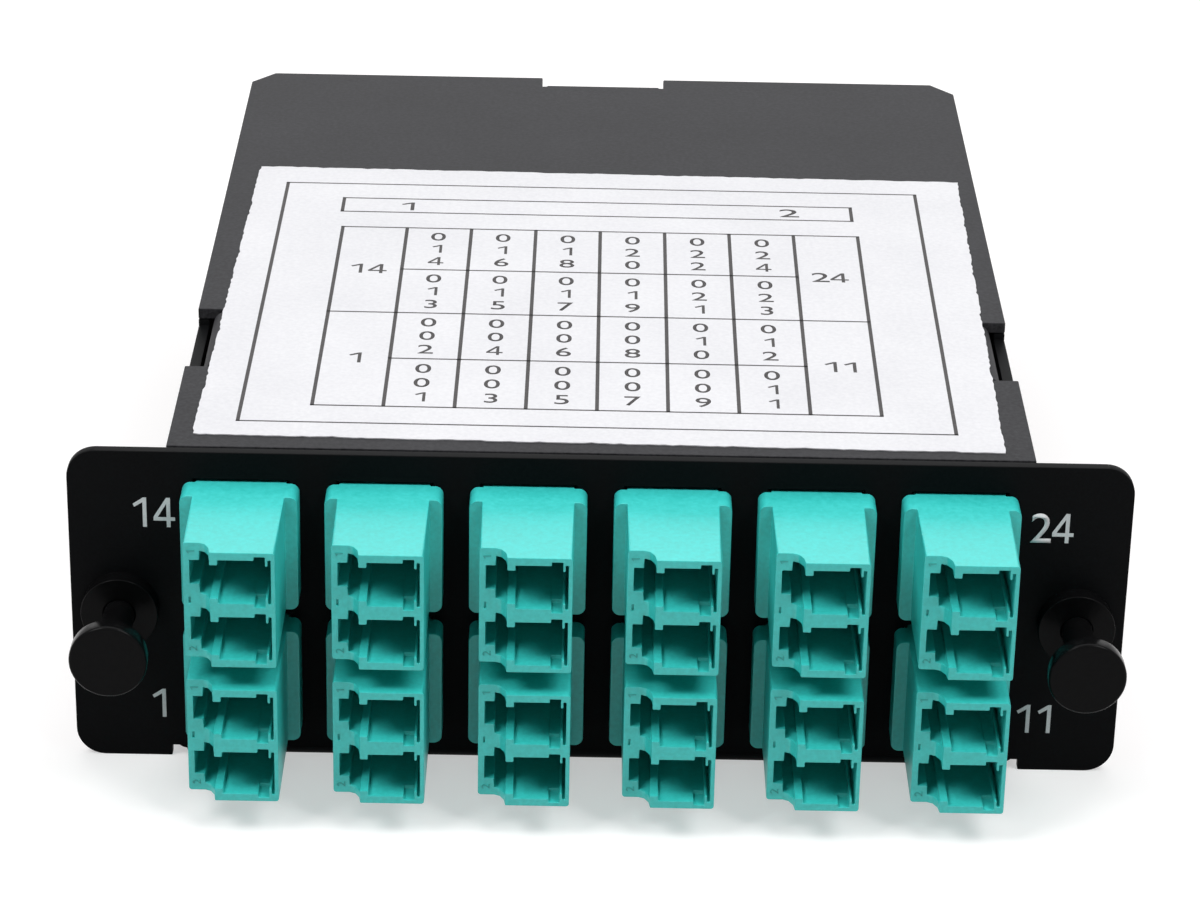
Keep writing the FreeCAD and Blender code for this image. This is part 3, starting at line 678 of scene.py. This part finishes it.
leg_start = grommet_flange_thickness + grommet_collar_length
for word in ("left", "right"):
    length = length_of("grommet_" + word)
    grommet = round_bar(grommet_flange_radius, 0, grommet_flange_thickness, "split_grommet_" + word)
    choose(grommet)
    bpy.ops.object.mode_set(mode="EDIT")
    select_faces(grommet, lambda centre, normal: normal.z > 0.9)
    bpy.ops.mesh.inset(thickness=grommet_flange_radius - grommet_collar_radius)
    bpy.ops.mesh.extrude_region_move(TRANSFORM_OT_translate={"value": (0, 0, grommet_collar_length)})
    bpy.ops.mesh.inset(thickness=grommet_collar_radius - grommet_leg_radius)
    bpy.ops.mesh.extrude_region_move(TRANSFORM_OT_translate={"value": (0, 0, length - leg_start)})
    bpy.ops.object.mode_set(mode="OBJECT")
    bore = round_bar(grommet_bore_radius, -overshoot, length + overshoot, "bore")
    combine(grommet, bore, "DIFFERENCE")
    for turn in (0, 90):
        slot = block((0, 0, leg_start + length / 2),
                     (grommet_slot, 2 * grommet_flange_radius, length))
        slot.data.transform(Matrix.Rotation(math.radians(turn), 4, "Z"))
        combine(grommet, slot, "DIFFERENCE")
    round_edges(grommet, grommet_edge, segments=3, angle=40)
    grommet.data.transform(lie_in("grommet_" + word))
    dress(grommet, nylon, "housing", "black_nylon", "grommet_" + word)

# ---- Floor, light and camera ----------------------------------------------------------------
# A plain white floor under broad soft lamps, and a camera in front of the panel and above it.
# The surroundings' white is seen straight, mirrored or through glass, and hardly adds light.
floor_white = (0.59, 0.577, 0.577)
floor_glow = 0.49
world_light = 0.05


def seen_straight(nodes, links):
    """Add up the rays that show the white surroundings: straight, mirrored and let through."""
    path = place(nodes.new("ShaderNodeLightPath"), -1100, 100)
    total = path.outputs["Is Camera Ray"]
    for step, ray in enumerate(("Is Glossy Ray", "Is Transmission Ray")):
        both = place(nodes.new("ShaderNodeMath"), -850 + 200 * step, 100)
        both.operation = "ADD"
        links.new(total, both.inputs[0])
        links.new(path.outputs[ray], both.inputs[1])
        total = both.outputs[0]
    return total


bpy.ops.mesh.primitive_plane_add(size=6)
floor = bpy.context.object
floor.name = "floor"
floor_finish = bpy.data.materials.new("white_floor")
floor_finish.use_nodes = True
floor_nodes = floor_finish.node_tree.nodes
floor_links = floor_finish.node_tree.links
floor_shader = floor_nodes["Principled BSDF"]
floor_shader.inputs["Base Color"].default_value = (*floor_white, 1)
floor_shader.inputs["Roughness"].default_value = 0.9
floor_shader.inputs["Specular IOR Level"].default_value = 0
floor_seen = place(floor_nodes.new("ShaderNodeMath"), -250, 100)
floor_seen.operation = "MULTIPLY"
floor_seen.inputs[1].default_value = floor_glow
floor_links.new(seen_straight(floor_nodes, floor_links), floor_seen.inputs[0])
floor_links.new(floor_seen.outputs[0], floor_shader.inputs["Emission Strength"])
floor_shader.inputs["Emission Color"].default_value = (1, 1, 1, 1)
floor.data.materials.append(floor_finish)

world = bpy.data.worlds.new("studio")
bpy.context.scene.world = world
world.use_nodes = True
world_nodes = world.node_tree.nodes
world_links = world.node_tree.links
world_shader = world_nodes["Background"]
world_shader.inputs["Color"].default_value = (1, 1, 1, 1)
world_level = place(world_nodes.new("ShaderNodeMapRange"), -300, 0)
world_level.inputs["To Min"].default_value = world_light
world_level.inputs["To Max"].default_value = 1.0
world_links.new(seen_straight(world_nodes, world_links), world_level.inputs["Value"])
world_links.new(world_level.outputs["Result"], world_shader.inputs["Strength"])


def soft_lamp(name, place_at, aim, size, power):
    """A soft rectangular lamp, aimed at a point."""
    lamp = bpy.data.lights.new(name, "AREA")
    lamp.shape = "RECTANGLE"
    lamp.size, lamp.size_y = size
    lamp.energy = power
    holder = bpy.data.objects.new(name, lamp)
    bpy.context.scene.collection.objects.link(holder)
    holder.location = place_at
    holder.rotation_euler = (Vector(aim) - Vector(place_at)).to_track_quat("-Z", "Y").to_euler()


soft_lamp("overhead_lamp", (0.0, 0.2, 0.9), (0, 0, 0), (0.9, 0.9), 4.75)
soft_lamp("back_lamp", (0.0, 1.1, 0.45), (0, 0, 0), (1.4, 0.5), 2.3)
soft_lamp("left_lamp", (-0.5, -0.36, 0.82), (0, -0.05, 0.02), (0.4, 0.4), 5.4)
soft_lamp("right_lamp", (0.5, -0.36, 0.82), (0, -0.05, 0.02), (0.4, 0.4), 5.4)

camera_place = Vector((-2.7 * MM, panel_front - 360.7 * MM, 206.35 * MM))
camera_dip = math.radians(25.27)
camera_roll = math.radians(-1.2)
camera_swing = math.radians(-0.4)
lens_length = 119.0
camera_data = bpy.data.cameras.new("camera")
camera_data.lens = lens_length
camera_data.sensor_width = 36.0
camera_data.clip_start = 0.01
camera = bpy.data.objects.new("camera", camera_data)
bpy.context.scene.collection.objects.link(camera)
camera.matrix_world = (
    Matrix.Translation(camera_place)
    @ Matrix.Rotation(camera_swing, 4, "Z")
    @ Matrix.Rotation(-camera_dip, 4, "X")
    @ Matrix.Rotation(camera_roll, 4, "Y")
    @ Matrix.Rotation(math.radians(90), 4, "X")
)
bpy.context.scene.camera = camera
bpy.context.scene.view_settings.view_transform = "Standard"
